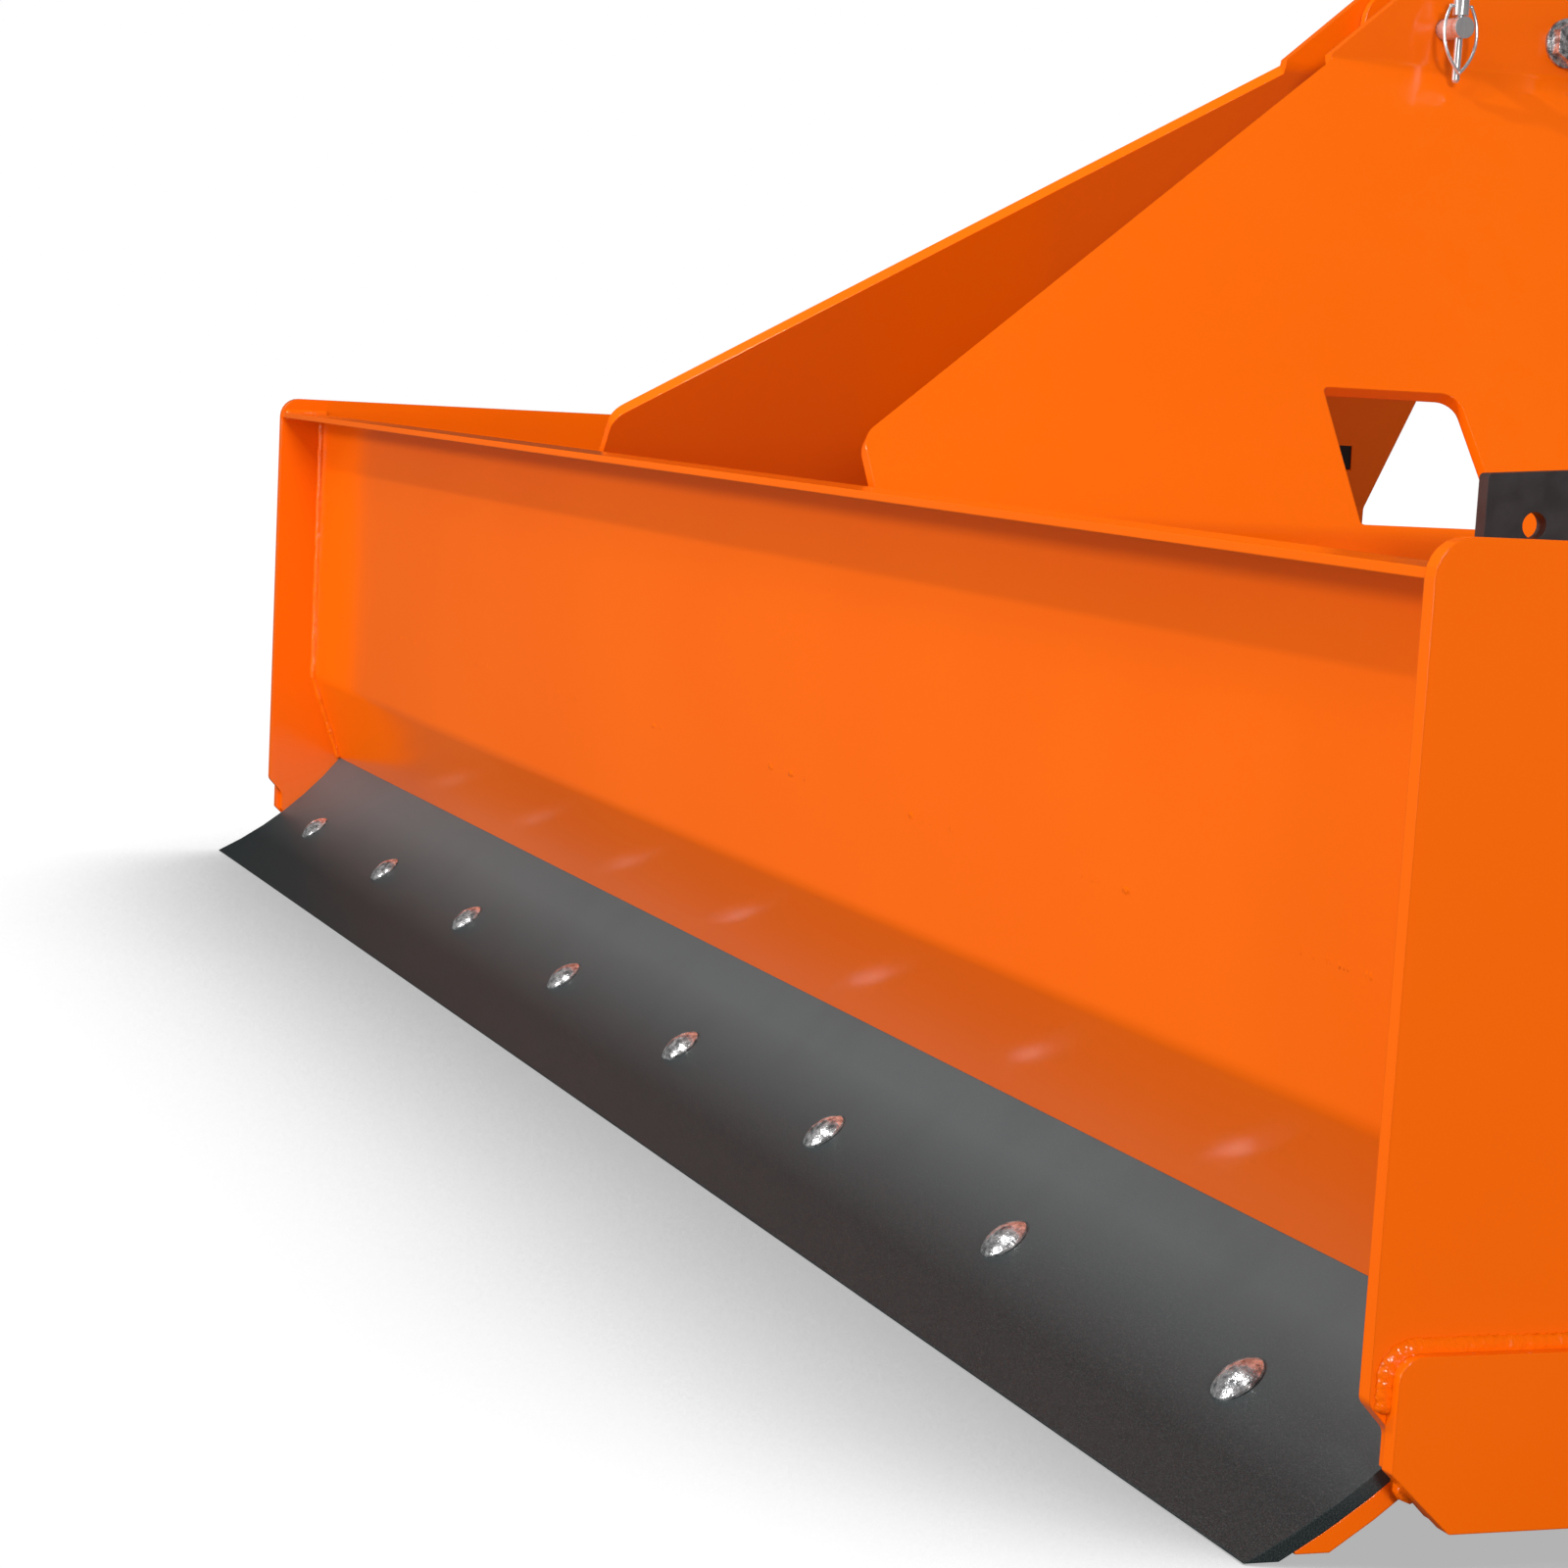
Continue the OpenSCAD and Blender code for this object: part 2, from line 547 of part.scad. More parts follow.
// Ring of spring wire that swings on the linch pin's head: two bowed sides that meet below,
// leaning towards +X past the linch pin
module linch_ring(d, linch_d) {
  w = wire(linch_d);
  top = head_d_of(linch_d) / 2 + w / 2 + 1.2;
  knot = 1.25 * w;               // the wire is a little thicker where it turns
  tall = ring_h(d, linch_d);
  wide = ring_half_w(d, linch_d);
  // circle through [top, 0] and [0, -tall] that reaches out to wide
  k = (top * top - tall * tall) / (2 * tall);
  m = -top / tall;
  qb = 2 * m * (tall + k) + 2 * wide;
  qc = (tall + k) * (tall + k) - wide * wide;
  cy = (-qb + sqrt(qb * qb - 4 * m * m * qc)) / (2 * m * m);
  cz = k + m * cy;
  r = wide - cy;
  a_top = atan2(-cz, top - cy);
  a_low = atan2(-tall - cz, -cy);
  tilt = asin((linch_d / 2 + w / 2 + 0.8) / tall);
  translate([0, 0, head_z(d, linch_d)]) rotate([0, -tilt, 0]) {
    for (side = [0, 1]) mirror([0, side, 0]) {
      translate([0, cy, cz]) rotate([90, 0, 90]) rotate([0, 0, a_low])
        rotate_extrude(angle = a_top - a_low) translate([r, 0]) circle(d = w, $fn = 24);
      translate([0, top, 0]) sphere(d = knot, $fn = 24);
    }
    translate([0, 0, -tall]) sphere(d = knot, $fn = 24);
    translate([0, -top, 0]) rotate([-90, 0, 0]) cylinder(h = 2 * top, d = w, $fn = 24);
  }
}
linch_s = 6;                   // linch pins of the top hitch
linch_l = 10;                  // holes for linch pins in the lower hitch pins
lock_linch_x = cheek_x + 22;
top_linch_x = strap_gap / 2 + strap_t + 13;
module lock_pin() {
  piece(zinc) headed_pin(-cheek_x, lock_linch_x + 8, lock_linch_x, lock_d, linch_s, [lock_y, lock_z]);
}
module lock_linch_pin() { piece(zinc) translate([lock_linch_x, lock_y, lock_z]) linch(lock_d, linch_s); }
module lock_linch_ring() {
  piece(zinc) translate([lock_linch_x, lock_y, lock_z]) linch_ring(lock_d, linch_s);
}
module top_link_pin() {
  x0 = -strap_gap / 2 - strap_t;
  piece(zinc) headed_pin(x0, top_linch_x + 8, top_linch_x, top_d, linch_s, [link_y, top_z]);
}
module top_linch_pin() { piece(zinc) translate([top_linch_x, link_y, top_z]) linch(top_d, linch_s); }
module top_linch_ring() {
  piece(zinc) translate([top_linch_x, link_y, top_z]) linch_ring(top_d, linch_s);
}
shoulder = 10;                 // collar between the mast plate and the hitch ball
lower_linch_x = mast_x + shoulder + 50;
module lower_pin() {
  at = [lower_y, lower_z];
  difference() {
    union() {
      bar_x(mast_x - mast_t - 22, mast_t + 23, stud_d, at);
      bar_x(mast_x, shoulder, 42, at);
      bar_x(mast_x + shoulder, 62, lower_d, at);
    }
    translate([lower_linch_x, lower_y, lower_z - lower_d]) cylinder(h = 2 * lower_d, d = linch_l + 0.2);
  }
}
module lower_nut() {
  difference() {
    union() {
      bar_x(mast_x - mast_t - 19, 16, big_across / cos(30), [lower_y, lower_z], 6);
      bar_x(mast_x - mast_t - 3, 3, 40, [lower_y, lower_z]);
    }
    bar_x(mast_x - mast_t - 20, 21, stud_d + bolt_play, [lower_y, lower_z]);
  }
}
module right_lower_pin() { piece(zinc) lower_pin(); }
module left_lower_pin() { piece(zinc) mirror([1, 0, 0]) lower_pin(); }
module right_lower_nut() { piece(zinc) lower_nut(); }
module left_lower_nut() { piece(zinc) mirror([1, 0, 0]) lower_nut(); }

// the part's middle, front to rear
y_mid = (edge_lo[0] + link_y + 34) / 2;

mouldboard();
rear_edge_bed();
rear_cutting_edge();
rear_edge_bolts();
rear_edge_nuts();
front_edge_bed();
front_cutting_edge();
front_edge_bolts();
front_edge_nuts();
left_end_plate();
right_end_plate();
left_skid_shoe();
right_skid_shoe();
toolbar();
left_mast_plate();
right_mast_plate();
left_slot_plug();
right_slot_plug();
pivot_bolt();
pivot_nut();
pivot_washers();
float_link();
lock_pin();
lock_linch_pin();
lock_linch_ring();
top_link_pin();
top_linch_pin();
top_linch_ring();
left_lower_pin();
right_lower_pin();
left_lower_nut();
right_lower_nut();
shank(1);  // shank_1
shank(2);  // shank_2
shank(3);  // shank_3
shank(4);  // shank_4
shank(5);  // shank_5
tip(1);  // tip_1
tip(2);  // tip_2
tip(3);  // tip_3
tip(4);  // tip_4
tip(5);  // tip_5
tip_bolt(1);  // tip_bolt_1
tip_bolt(2);  // tip_bolt_2
tip_bolt(3);  // tip_bolt_3
tip_bolt(4);  // tip_bolt_4
tip_bolt(5);  // tip_bolt_5
shank_pin(1);  // shank_pin_1
shank_pin(2);  // shank_pin_2
shank_pin(3);  // shank_pin_3
shank_pin(4);  // shank_pin_4
shank_pin(5);  // shank_pin_5
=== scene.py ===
"""The look of a tractor box blade: powder coat, weld beads, dark cutting edges and zinc plated pins.

Lengths are in metres. +X runs along the blade, -Y out of the mouldboard's open face, +Y towards the
tractor and +Z up."""

import json
import math

import bmesh
import bpy
from mathutils import Matrix, Vector, noise


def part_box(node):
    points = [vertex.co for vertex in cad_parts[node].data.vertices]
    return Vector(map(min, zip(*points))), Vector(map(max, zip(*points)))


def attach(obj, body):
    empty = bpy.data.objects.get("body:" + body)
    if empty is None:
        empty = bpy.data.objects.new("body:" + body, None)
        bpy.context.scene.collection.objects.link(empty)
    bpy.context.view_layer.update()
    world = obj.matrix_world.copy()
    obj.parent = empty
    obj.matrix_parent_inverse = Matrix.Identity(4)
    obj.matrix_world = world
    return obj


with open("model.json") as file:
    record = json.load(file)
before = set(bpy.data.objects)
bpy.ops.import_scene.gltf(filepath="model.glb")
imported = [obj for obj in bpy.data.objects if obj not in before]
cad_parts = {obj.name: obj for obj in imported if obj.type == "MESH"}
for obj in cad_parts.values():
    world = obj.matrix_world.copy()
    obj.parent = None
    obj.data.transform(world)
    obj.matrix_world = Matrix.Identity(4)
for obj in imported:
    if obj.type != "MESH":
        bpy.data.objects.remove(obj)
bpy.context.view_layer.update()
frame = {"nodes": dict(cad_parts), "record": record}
nodes = frame["nodes"]


# ---- finishes ----
def srgb(red, green, blue):
    """A paint chip's 0-255 values as a linear colour."""
    linear = []
    for value in (red, green, blue):
        value /= 255
        linear.append(value / 12.92 if value <= 0.04045 else ((value + 0.055) / 1.055) ** 2.4)
    return (*linear, 1.0)


class Finish:
    """A Principled material whose patterns read Object coordinates."""

    def __init__(self, name):
        self.material = bpy.data.materials.new(name)
        self.material.use_nodes = True
        self.tree = self.material.node_tree
        self.shader = self.tree.nodes["Principled BSDF"]
        self.place = self.node("ShaderNodeTexCoord").outputs["Object"]

    def node(self, kind, **values):
        """A new node with its properties set."""
        made = self.tree.nodes.new(kind)
        for key, value in values.items():
            setattr(made, key, value)
        return made

    def join(self, source, target):
        """Feeds an input from an output."""
        self.tree.links.new(source, target)

    def set(self, **values):
        """Sets the shader's own inputs. An underscore stands for a space."""
        for key, value in values.items():
            self.shader.inputs[key.replace("_", " ")].default_value = value

    def coat(self, colour, roughness):
        """Feeds the shader its colour and its roughness."""
        self.join(colour, self.shader.inputs["Base Color"])
        self.join(roughness, self.shader.inputs["Roughness"])

    def height(self):
        """The height above the ground, at rest."""
        split = self.node("ShaderNodeSeparateXYZ")
        self.join(self.place, split.inputs["Vector"])
        return split.outputs["Z"]

    def noise(self, scale, detail=2.0, stretch=(1, 1, 1)):
        """Noise of so many cells a metre, with the axes scaled by stretch."""
        mapping = self.node("ShaderNodeMapping")
        mapping.inputs["Scale"].default_value = stretch
        self.join(self.place, mapping.inputs["Vector"])
        pattern = self.node("ShaderNodeTexNoise")
        pattern.inputs["Scale"].default_value = scale
        pattern.inputs["Detail"].default_value = detail
        self.join(mapping.outputs["Vector"], pattern.inputs["Vector"])
        return pattern.outputs["Fac"]

    def between(self, factor, low, high, start=0.0, end=1.0, way="LINEAR"):
        """A value that runs from low to high while factor runs from start to end."""
        span = self.node("ShaderNodeMapRange", interpolation_type=way)
        for socket, value in zip(("From Min", "From Max", "To Min", "To Max"), (start, end, low, high)):
            span.inputs[socket].default_value = value
        self.join(factor, span.inputs["Value"])
        return span.outputs["Result"]

    def blend(self, factor, first, second):
        """A colour between two colours or sockets."""
        mix = self.node("ShaderNodeMix", data_type="RGBA")
        self.join(factor, mix.inputs["Factor"])
        for socket, colour in ((mix.inputs[6], first), (mix.inputs[7], second)):
            if isinstance(colour, tuple):
                socket.default_value = colour
            else:
                self.join(colour, socket)
        return mix.outputs[2]

    def relief(self, layers, edge_radius):
        """Bumps of (pattern, depth) over edges that are broken by edge_radius."""
        rounded = self.node("ShaderNodeBevel", samples=6)
        rounded.inputs["Radius"].default_value = edge_radius
        normal = rounded.outputs["Normal"]
        for pattern, depth in layers:
            bump = self.node("ShaderNodeBump")
            bump.inputs["Strength"].default_value = 1.0
            bump.inputs["Distance"].default_value = depth
            self.join(pattern, bump.inputs["Height"])
            self.join(normal, bump.inputs["Normal"])
            normal = bump.outputs["Normal"]
        self.join(normal, self.shader.inputs["Normal"])


def orange(name, roughness, layers):
    """Orange powder coat, slightly uneven in shade, with brighter specks.
    roughness is its least and most, and layers are bumps of (cells a metre, depth)."""
    paint = Finish(name)
    cloud = paint.between(paint.noise(2.2, 3), 0, 1, start=0.3, end=0.7)
    specks = paint.between(paint.noise(900, 1), 0, 0.10, start=0.55, end=0.75)
    shade = paint.blend(cloud, srgb(250, 107, 3), srgb(246, 102, 2))
    colour = paint.blend(specks, shade, srgb(255, 128, 30))
    paint.coat(colour, paint.between(paint.noise(40), *roughness))
    paint.set(Specular_IOR_Level=0.4)
    paint.relief([(paint.noise(scale, 1), depth) for scale, depth in layers], edge_radius=0.0012)
    return paint.material


def powder_coat():
    """The plates' coat, with the fine orange peel of a baked finish."""
    return orange("orange_powder_coat", roughness=(0.12, 0.18), layers=[(330, 0.00002)])


def weld_coat():
    """The same paint over the weld beads, where it is lumpier and glossier."""
    return orange("coated_weld", roughness=(0.06, 0.11), layers=[(420, 0.0007), (140, 0.0012)])


def edge_paint():
    """Dark satin coat of the cutting edges, with painted shade and light: darker towards the ground and
    lighter towards the top.
    """
    paint = Finish("edge_steel")
    # Painted shade and light: the edge is painted dark towards the ground and light at its upper side,
    # standing in for how the light falls; the dark colour is also tinted cool against the orange light
    # bounced off the board.
    upper = paint.between(paint.height(), 0, 1, start=0.02, end=0.075)
    grain = paint.noise(1300)
    flecks = paint.between(grain, 0, 0.22, start=0.45, end=0.75)
    scuffs = paint.between(paint.noise(14, 4), 0, 0.12, start=0.5, end=0.8)
    colour = paint.blend(upper, srgb(26, 36, 37), srgb(78, 85, 86))
    colour = paint.blend(flecks, colour, srgb(120, 120, 122))
    colour = paint.blend(scuffs, colour, srgb(44, 44, 46))
    paint.coat(colour, paint.between(grain, 0.42, 0.56))
    paint.set(Specular_IOR_Level=0.3)
    paint.relief([(grain, 0.00003)], edge_radius=0.0010)
    return paint.material


def shank_paint():
    """Dark coat of the shanks, over the scale of hot rolled bar."""
    paint = Finish("shank_steel")
    scale = paint.noise(60, 5)
    patches = paint.between(scale, 0, 1, start=0.35, end=0.7)
    colour = paint.blend(patches, srgb(46, 46, 47), srgb(56, 56, 58))
    paint.coat(colour, paint.between(scale, 0.38, 0.55))
    paint.set(Specular_IOR_Level=0.35)
    paint.relief([(paint.noise(700), 0.00004)], edge_radius=0.0008)
    return paint.material


def cast_steel():
    """Rough cast tips with worn, brighter points."""
    cast = Finish("cast_tip")
    grain = cast.noise(420, 4)
    worn = cast.between(cast.height(), 1, 0, start=0.018, end=0.04)
    patches = cast.between(grain, 0, 1, start=0.3, end=0.7)
    colour = cast.blend(patches, srgb(58, 56, 54), srgb(84, 82, 79))
    colour = cast.blend(worn, colour, srgb(150, 148, 144))
    cast.coat(colour, cast.between(grain, 0.45, 0.7))
    cast.set(Metallic=0.6)
    cast.relief([(grain, 0.0003)], edge_radius=0.001)
    return cast.material


def zinc():
    """Bright zinc plate, mottled by its crystals and slightly dimpled."""
    plate = Finish("zinc_plate")
    crystal = plate.noise(240, 4)
    fine = plate.noise(900)
    mottle = plate.between(crystal, 0, 1, start=0.35, end=0.65)
    colour = plate.blend(mottle, srgb(120, 122, 124), srgb(236, 236, 236))
    plate.coat(colour, plate.between(fine, 0.12, 0.30, start=0.3, end=0.7))
    plate.set(Metallic=0.72, Specular_IOR_Level=1.0)
    plate.relief([(crystal, 0.0005), (fine, 0.00008)], edge_radius=0.0007)
    return plate.material


def bright_wire():
    """Smooth plated wire and turned pins."""
    wire = Finish("bright_wire")
    turned = wire.noise(500, 2, stretch=(1, 1, 0.2))
    colour = wire.blend(turned, srgb(196, 198, 202), srgb(240, 240, 240))
    wire.coat(colour, wire.between(turned, 0.14, 0.30))
    wire.set(Metallic=0.7, Specular_IOR_Level=1.0)
    wire.relief([(turned, 0.00004)], edge_radius=0.0005)
    return wire.material


def plug_plastic():
    """Matt black moulded plastic."""
    plastic = Finish("black_plastic")
    mottle = plastic.noise(500)
    colour = plastic.blend(mottle, srgb(18, 14, 12), srgb(30, 26, 24))
    plastic.coat(colour, plastic.between(mottle, 0.5, 0.65))
    plastic.relief([(mottle, 0.00005)], edge_radius=0.0006)
    return plastic.material


FINISHES = {
    "black_plastic": plug_plastic(),
    "orange_powder_coat": powder_coat(),
    "edge_steel": edge_paint(),
    "shank_steel": shank_paint(),
    "cast_tip": cast_steel(),
    "zinc_plate": zinc(),
}
WELD = weld_coat()
WIRE = bright_wire()
BRIGHT_NODES = (
    "lock_pin", "lock_linch_pin", "lock_linch_ring",
    "top_link_pin", "top_linch_pin", "top_linch_ring",
)


def finish_nodes():
    """Gives each CAD node the finish of its slot in the record, or the bright one at the top hitch."""
    for part in frame["record"]["subparts"]:
        mesh = nodes[part["node"]].data
        mesh.materials.clear()
        bright = part["node"] in BRIGHT_NODES
        mesh.materials.append(WIRE if bright else FINISHES[part["material_slot"]])


def add_object(name, bm, material):
    """Makes an object of a bmesh, in its material."""
    mesh = bpy.data.meshes.new(name)
    bm.to_mesh(mesh)
    bm.free()
    mesh.materials.append(material)
    made = bpy.data.objects.new(name, mesh)
    bpy.context.scene.collection.objects.link(made)
    return made


def add_piece(name, bm, material, body):
    """Makes a smooth piece of a bmesh, riding on a body."""
    bmesh.ops.recalc_face_normals(bm, faces=bm.faces)
    for face in bm.faces:
        face.smooth = True
    piece = add_object(name, bm, material)
    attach(piece, body)
    return piece


# ---- where the plates meet ----
plate_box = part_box("right_end_plate")
shoe_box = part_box("right_skid_shoe")
board_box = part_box("mouldboard")
bar_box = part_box("toolbar")
bed_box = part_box("front_edge_bed")
mast_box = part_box("right_mast_plate")

SHEET = 0.005                   # thickness of the mouldboard
FLANGE_OUT = 0.041              # how far its top flange stands out of its open face
BEND_HEIGHT = 0.180             # below this the board leans back towards the tractor
LEAN = 0.030                    # how far back it has come where it reaches the cutting edge
EDGE_HEIGHT = 0.097             # height of the cutting edge's upper side
half_width = board_box[1].x
face_y = board_box[0].y + FLANGE_OUT
back_y = face_y + SHEET
flange_top = board_box[1].z
flange_under = flange_top - SHEET

# Radii of the weld beads
SHOE_BEAD = 0.0068
CORNER_BEAD = 0.0060
BAR_BEAD = 0.0055
BACK_BEAD = 0.0050
BOARD_BEAD = 0.0042
FLANGE_BEAD = 0.0036
UNDER_FLANGE_BEAD = 0.0030
TRIM = 0.004                    # a bead that runs to an edge or a face stops this far before it
CLEAR = 0.003                   # and one that starts at a corner starts this far from it


# ---- weld beads ----
def arc_points(centre, radius, start, end, steps=6):
    """Points [y, z] on an arc, from one angle to another in degrees."""
    angles = [math.radians(start + (end - start) * i / steps) for i in range(steps + 1)]
    return [(centre[0] + radius * math.cos(a), centre[1] + radius * math.sin(a)) for a in angles]


def in_plane(x, outline):
    """[y, z] points put at x."""
    return [Vector((x, y, z)) for y, z in outline]


def walk(path, step):
    """Places and directions about a step apart, along a path of straight runs."""
    places = []
    for start, end in zip(path, path[1:]):
        run = end - start
        count = max(1, round(run.length / step))
        places += [(start + run * (i / count), run.normalized()) for i in range(count)]
    return places + [(path[-1], (path[-1] - path[-2]).normalized())]


def bead(name, path, normal, radius, seed, height=1.0, pitch=0.0045):
    """A weld bead on the frame: a round bar laid along path, ridged like overlapping puddles.
    It is flattened by height along normal. pitch is the length of a puddle."""
    rings_a_puddle = 3
    sides = 10
    bow = 0.35                  # how much of a puddle its crest trails by at its sides
    end_share = 0.55            # the bead's ends are drawn in to this
    places = walk(path, pitch / rings_a_puddle)
    last = len(places) - 1
    bm = bmesh.new()
    bmesh.ops.create_cone(bm, cap_ends=True, segments=sides, radius1=1, radius2=1, depth=last)
    long_edges = [e for e in bm.edges if abs(e.verts[0].co.z - e.verts[1].co.z) > 0.5]
    bmesh.ops.subdivide_edges(bm, edges=long_edges, cuts=last - 1)
    normal = Vector(normal).normalized()
    for vertex in bm.verts:
        index = round(vertex.co.z + last / 2)
        centre, along = places[index]
        across = along.cross(normal)
        u, v = vertex.co.x, vertex.co.y
        ridge = abs(((index / rings_a_puddle) + bow * u * u) % 1.0 - 0.5) * 2
        wander = noise.noise(Vector((index * 0.11, seed, 0.0)))
        lump = noise.noise(Vector((index * 0.4, u * 2 + seed, v * 2)))
        swell = radius * (0.92 + 0.13 * ridge + 0.12 * wander + 0.10 * lump)
        if index in (0, last):
            swell *= end_share
        shift = across * (radius * 0.15 * wander)
        vertex.co = centre + shift + (across * u + normal * (v * height)) * swell
    return add_piece(name, bm, WELD, "frame")


def shoe_welds(side, word):
    """The shoe is welded to the end plate's outer face along its open, upper and tractor sides."""
    low, high = shoe_box
    corner = 0.012
    open_end = 0.070            # heights at which the bead's ends stop
    tractor_end = 0.050
    outline = [(low.y, open_end)]
    outline += arc_points((low.y + corner, high.z - corner), corner, 180, 90)
    outline += arc_points((high.y - corner, high.z - corner), corner, 90, 0)
    outline += [(high.y, tractor_end)]
    path = in_plane(side * plate_box[1].x, outline)
    bead(word + "_shoe_weld", path, (side, 0, 0), SHOE_BEAD, seed=side, height=0.5, pitch=0.005)


def board_welds(side, word):
    """The mouldboard is welded to each end plate down its open face, and over and under its flange."""
    x = side * half_width
    lip_y = board_box[0].y + CLEAR
    start = flange_under - 0.002
    down = [(face_y, start), (face_y, BEND_HEIGHT), (face_y + LEAN, EDGE_HEIGHT)]
    bead(word + "_mouldboard_weld", in_plane(x, down), (1, 0, 0), BOARD_BEAD, seed=2 + side)
    over = [(lip_y, flange_top), (back_y, flange_top)]
    bead(word + "_flange_weld", in_plane(x, over), (1, 0, 0), FLANGE_BEAD, seed=4 + side)
    under = [(lip_y, flange_under), (face_y - TRIM, flange_under)]
    bead(word + "_flange_under_weld", in_plane(x, under), (1, 0, 0), UNDER_FLANGE_BEAD, seed=6 + side)


def bar_welds(side, word):
    """The toolbar is welded to the end plate all round."""
    low, high = bar_box
    corner = 0.004
    outline = arc_points((high.y - corner, high.z - corner), corner, 0, 90, 3)
    outline += arc_points((low.y + corner, high.z - corner), corner, 90, 180, 3)
    outline += arc_points((low.y + corner, low.z + corner), corner, 180, 270, 3)
    outline += arc_points((high.y - corner, low.z + corner), corner, 270, 360, 3)
    outline.append(outline[0])
    path = in_plane(side * half_width, outline)
    bead(word + "_toolbar_weld", path, (1, 0, 0), BAR_BEAD, seed=8 + side)


def mast_welds(side, word):
    """The mast plate is welded to the toolbar's top and tractor side, and to the mouldboard's back."""
    low, high = bar_box
    rear_stop = 0.035           # height of the rear bead's end over the toolbar's underside
    board_run = 0.050           # height of the board bead's end over the toolbar's top
    x = side * mast_box[1].x
    on_bar = [(low.y + TRIM, high.z), (high.y - TRIM, high.z)]
    bead(word + "_mast_bar_weld", in_plane(x, on_bar), (1, 0, 0), BAR_BEAD, seed=10 + side)
    behind = [(high.y, high.z - CLEAR), (high.y, low.z + rear_stop)]
    bead(word + "_mast_rear_weld", in_plane(x, behind), (1, 0, 0), BAR_BEAD, seed=12 + side)
    on_board = [(back_y, high.z + CLEAR), (back_y, high.z + board_run)]
    bead(word + "_mast_board_weld", in_plane(x, on_board), (1, 0, 0), BACK_BEAD, seed=14 + side)


def bed_end_weld(side, word):
    """A heavy bead closes the notch between the rear bed and the end plate's lower corner."""
    y = shoe_box[0].y + 0.016
    z = 0.034
    inner = side * (half_width - 0.012)
    outer = side * (plate_box[1].x + 0.002)
    path = [Vector((inner, y, z)), Vector((outer, y, z))]
    bead(word + "_bed_end_weld", path, (0, 0, 1), CORNER_BEAD, seed=16 + side)


def stitch_welds():
    """Short runs of weld join the front bed to the back of the mouldboard."""
    count = 9
    length = 0.080
    pitch = 2 * half_width / count
    z = bed_box[1].z
    for i in range(count):
        middle = (i - (count - 1) / 2) * pitch
        path = [Vector((middle - length / 2, back_y, z)), Vector((middle + length / 2, back_y, z))]
        bead(f"stitch_weld_{i + 1}", path, (0, 0, 1), BACK_BEAD, seed=20 + i)


# ---- floor ----
FLOOR_SIZE = 30                 # large enough to run out of sight
FLOOR_DROP = 0.0006             # clears the edges that stand on it
FLOOR_LIGHT = 1.05              # its brightness in the open
SHADE_LOW = 0.45                # its brightness where the object closes off the sky
SHADE_REACH = 0.75              # how far a plate's shade spreads
SHADE_FULL = 0.58               # share of open sky under which the shade is full
SHADE_END = 0.86                # share of open sky over which there is none
GLOSS_SHARE = 0.05              # how much of the floor and the surroundings shows in reflections
BOUNCE_SHARE = 0.22             # how much of the floor's light reaches the object


def lit_floor():
    """A floor that shines by itself, and is darker where the object closes off the sky."""
    pale = Finish("pale_floor")
    open_sky = pale.node("ShaderNodeAmbientOcclusion", samples=12)
    open_sky.inputs["Distance"].default_value = SHADE_REACH
    strength = pale.between(
        open_sky.outputs["AO"], SHADE_LOW, FLOOR_LIGHT, SHADE_FULL, SHADE_END, way="SMOOTHSTEP")
    rays = pale.node("ShaderNodeLightPath")
    for kind, share in (("Is Glossy Ray", GLOSS_SHARE), ("Is Diffuse Ray", BOUNCE_SHARE)):
        product = pale.node("ShaderNodeMath", operation="MULTIPLY")
        pale.join(strength, product.inputs[0])
        pale.join(pale.between(rays.outputs[kind], 1.0, share), product.inputs[1])
        strength = product.outputs["Value"]
    glow = pale.node("ShaderNodeEmission")
    pale.join(strength, glow.inputs["Strength"])
    output = pale.tree.nodes["Material Output"]
    pale.join(glow.outputs["Emission"], output.inputs["Surface"])
    return pale.material


def stage_floor():
    """A pale floor that runs out of sight."""
    bm = bmesh.new()
    bmesh.ops.create_grid(bm, x_segments=1, y_segments=1, size=FLOOR_SIZE)
    bmesh.ops.translate(bm, verts=bm.verts, vec=(0, 0, -FLOOR_DROP))
    floor = add_object("floor", bm, lit_floor())


# ---- surroundings and lamps ----
SKY = 0.52                      # how strongly the surroundings light the object
LAMPS = (
    # name, place, aim, width, height, watts
    ("front", (-0.8, -6.0, 2.4), (0, -0.36, 0.25), 1.0, 1.0, 148),
    ("side", (6.4, -1.1, 2.3), (1.2, 0.1, 0.4), 1.0, 1.0, 185),
    ("top", (0.9, -1.7, 2.6), (0.1, -0.36, 0.15), 0.45, 0.45, 9),
    ("low", (0.6, -4.6, 0.35), (0.3, -0.36, 0.12), 2.4, 0.4, 38),
    ("spark", (-0.2, -2.2, 2.6), (0.2, -0.40, 0.05), 0.12, 0.12, 30),
)


def studio():
    """Surroundings that are white to look at, dimmer as light, and dimmer still in reflections."""
    world = bpy.data.worlds.new("studio")
    bpy.context.scene.world = world
    world.use_nodes = True
    tree = world.node_tree
    rays = tree.nodes.new("ShaderNodeLightPath")
    product = tree.nodes.new("ShaderNodeMath")
    product.operation = "MULTIPLY"
    shares = (("Is Camera Ray", SKY, 1.0), ("Is Glossy Ray", 1.0, GLOSS_SHARE))
    for socket, (kind, otherwise, share) in zip(product.inputs, shares):
        span = tree.nodes.new("ShaderNodeMapRange")
        span.inputs["To Min"].default_value = otherwise
        span.inputs["To Max"].default_value = share
        tree.links.new(rays.outputs[kind], span.inputs["Value"])
        tree.links.new(span.outputs["Result"], socket)
    background = tree.nodes["Background"]
    background.inputs["Color"].default_value = (1, 1, 1, 1)
    tree.links.new(product.outputs["Value"], background.inputs["Strength"])
    bpy.context.scene.view_settings.view_transform = "Standard"


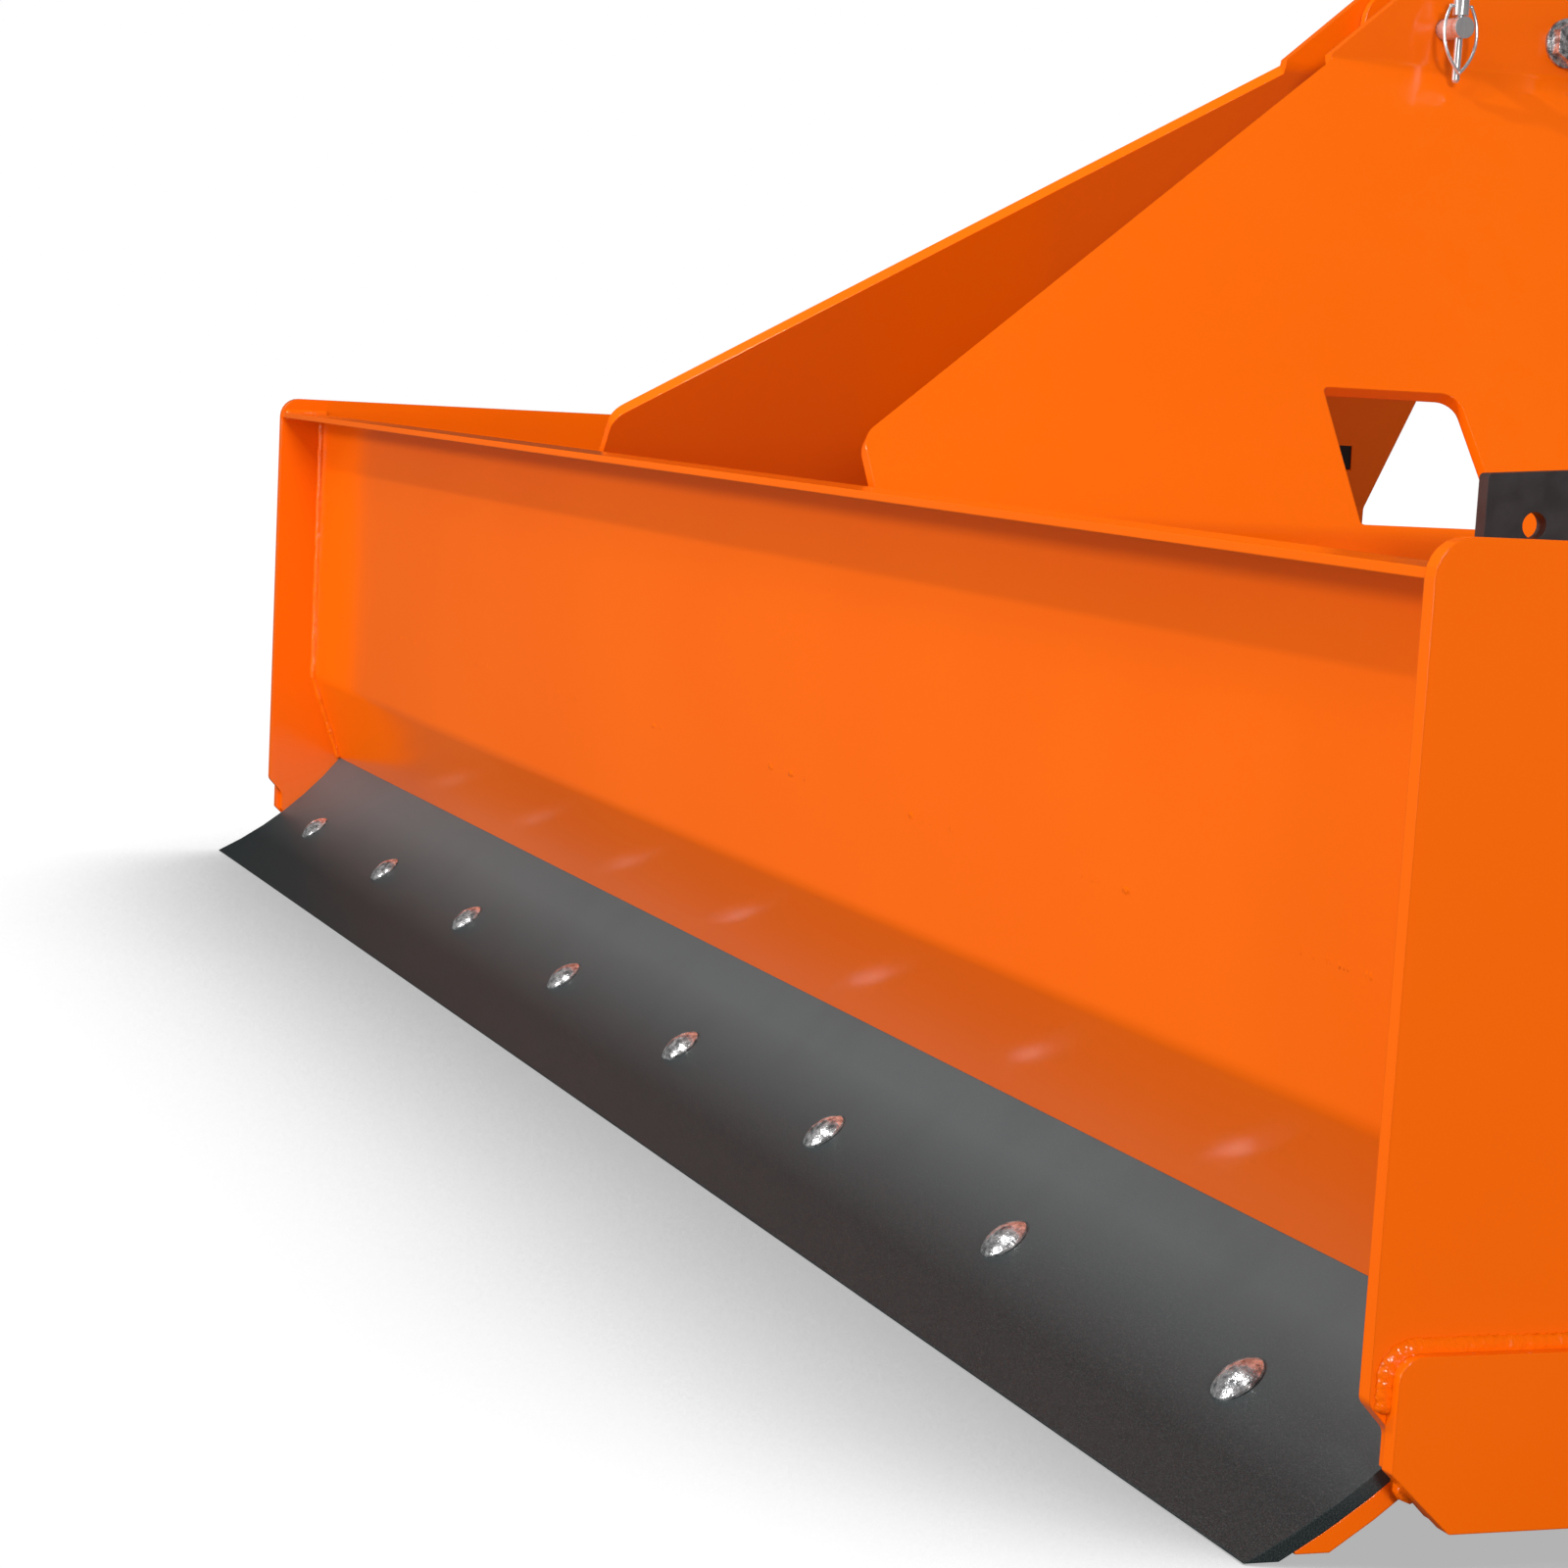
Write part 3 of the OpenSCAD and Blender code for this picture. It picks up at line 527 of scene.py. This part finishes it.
def lamps():
    """Soft boxes that the camera doesn't see, each turned towards its aim."""
    for name, place, aim, width, height, watts in LAMPS:
        light = bpy.data.lights.new(name, "AREA")
        light.shape = "RECTANGLE"
        light.size = width
        light.size_y = height
        light.energy = watts
        lamp = bpy.data.objects.new(name, light)
        lamp.visible_camera = False
        bpy.context.scene.collection.objects.link(lamp)
        towards = Vector(aim) - Vector(place)
        turned = towards.to_track_quat("-Z", "Y").to_matrix().to_4x4()
        lamp.matrix_world = Matrix.Translation(place) @ turned


# ---- camera ----
CAMERA_PLACE = (2.7007, -1.2165, 0.5152)
CAMERA_TURN = 70.394            # degrees round from facing +Y, towards -X
CAMERA_DIP = 9.254              # degrees down from level
CAMERA_TILT = 3.126             # degrees about its line of sight
FOCAL_LENGTH = 88.91            # millimetres
SENSOR = 36                     # millimetres
SHIFT_UP = 0.139                # share of the sensor's width


def camera():
    """Stands low off the right end and looks along the blade, a little down."""
    turn, dip, tilt = (math.radians(angle) for angle in (CAMERA_TURN, CAMERA_DIP, CAMERA_TILT))
    back = Vector((math.sin(turn) * math.cos(dip), -math.cos(turn) * math.cos(dip), math.sin(dip)))
    right = (-back).cross(Vector((0, 0, 1))).normalized()
    up = right.cross(-back)
    across = right * math.cos(tilt) + up * math.sin(tilt)
    upright = up * math.cos(tilt) - right * math.sin(tilt)
    lens = bpy.data.cameras.new("camera")
    lens.lens = FOCAL_LENGTH
    lens.sensor_width = SENSOR
    lens.shift_y = SHIFT_UP
    lens.clip_start = 0.05
    view = bpy.data.objects.new("camera", lens)
    bpy.context.scene.collection.objects.link(view)
    turned = Matrix((across, upright, back)).transposed().to_4x4()
    view.matrix_world = Matrix.Translation(CAMERA_PLACE) @ turned
    bpy.context.scene.camera = view


camera()
studio()
lamps()
stage_floor()
finish_nodes()
for side, word in ((1, "right"), (-1, "left")):
    shoe_welds(side, word)
    board_welds(side, word)
    bar_welds(side, word)
    mast_welds(side, word)
    bed_end_weld(side, word)
stitch_welds()
